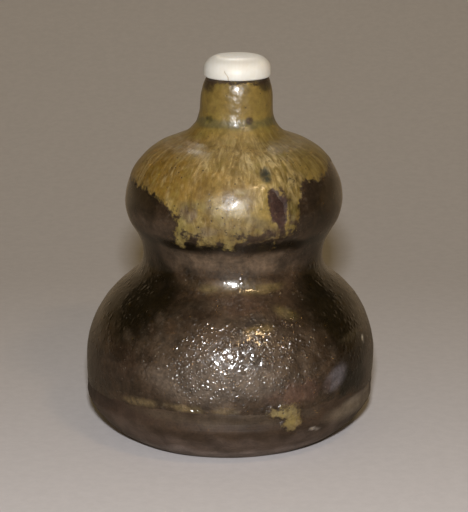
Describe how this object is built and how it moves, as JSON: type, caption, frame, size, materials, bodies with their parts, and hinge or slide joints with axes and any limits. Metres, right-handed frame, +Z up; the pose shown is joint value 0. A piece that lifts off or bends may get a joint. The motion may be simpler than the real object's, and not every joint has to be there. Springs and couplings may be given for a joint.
{
  "type": "tea caddy",
  "caption": "Small double-gourd stoneware tea caddy with dark iron glaze, ochre ash-glaze runs, a narrow neck and a lift-off ivory lid.",
  "frame": {"origin": "centre of the flat foot, where it stands on the table", "axes": "+Z up through the neck and lid; +X towards the side to which the neck stands off; -Y is the front, with the splash by the foot"},
  "size_m": [0.065, 0.0648, 0.085],
  "materials": {
    "stoneware": "matt brown stoneware",
    "iron_glaze": "glossy dark brown iron glaze",
    "ash_glaze": "glossy mottled ochre ash glaze",
    "ivory": "polished warm white ivory",
    "gold_paper": "gilded paper"
  },
  "bodies": {
    "jar": {"stoneware_body": "stoneware", "iron_glaze_coat": "iron_glaze", "ash_glaze_pour": "ash_glaze", "foot_ash_splash": "ash_glaze"},
    "lid": {"ivory_lid": "ivory", "lid_gold_lining": "gold_paper"}
  },
  "joints": [
    {"name": "lid_lift", "type": "slide", "parent": "jar", "child": "lid", "axis": [0, 0, 1], "range_m": [0, 0.03]}
  ]
}
